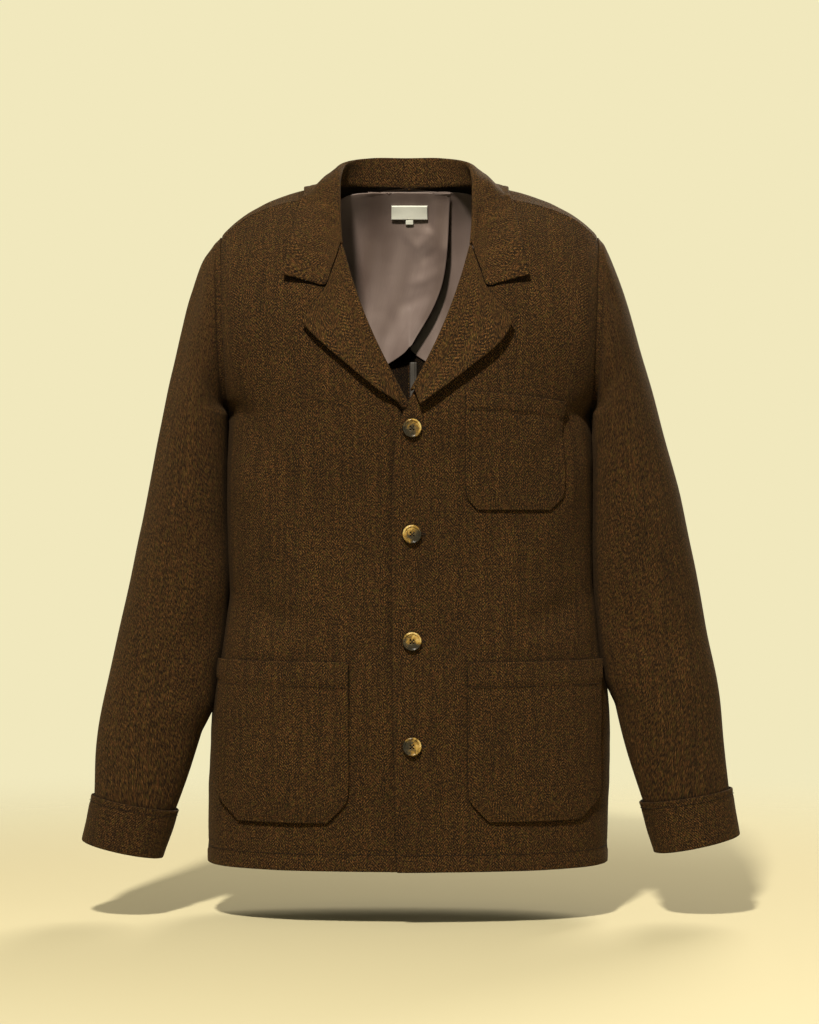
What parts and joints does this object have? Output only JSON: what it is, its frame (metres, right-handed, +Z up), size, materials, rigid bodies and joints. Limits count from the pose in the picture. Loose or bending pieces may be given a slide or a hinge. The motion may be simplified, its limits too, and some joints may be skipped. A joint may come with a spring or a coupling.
{
  "type": "work jacket",
  "caption": "Single-breasted brown wool tweed work jacket with notch lapels, patch pockets, horn buttons and a satin half-lining, filled out with no wearer.",
  "frame": {"origin": "centre of the neck opening, level with the collar's seam at the nape", "axes": "+Z up, -Y out of the jacket's front, +X towards the wearer's left"},
  "size_m": [0.711, 0.2513, 0.7732],
  "materials": {
    "tweed": "matte",
    "satin": "satin",
    "binding": "satin",
    "woven_label": "matte",
    "horn": "gloss"
  },
  "bodies": {
    "root": {"front_left": "tweed", "front_right": "tweed", "back_left": "tweed", "back_right": "tweed", "sleeve_left": "tweed", "sleeve_right": "tweed", "cuff_left": "tweed", "cuff_right": "tweed", "collar": "tweed", "lapel_left": "tweed", "lapel_right": "tweed", "chest_pocket": "tweed", "pocket_left": "tweed", "pocket_right": "tweed", "lining_left": "satin", "lining_right": "satin", "back_seam_binding": "binding", "neck_label": "woven_label", "size_tab": "woven_label", "button_1": "horn", "button_2": "horn", "button_3": "horn", "button_4": "horn"}
  },
  "joints": []
}
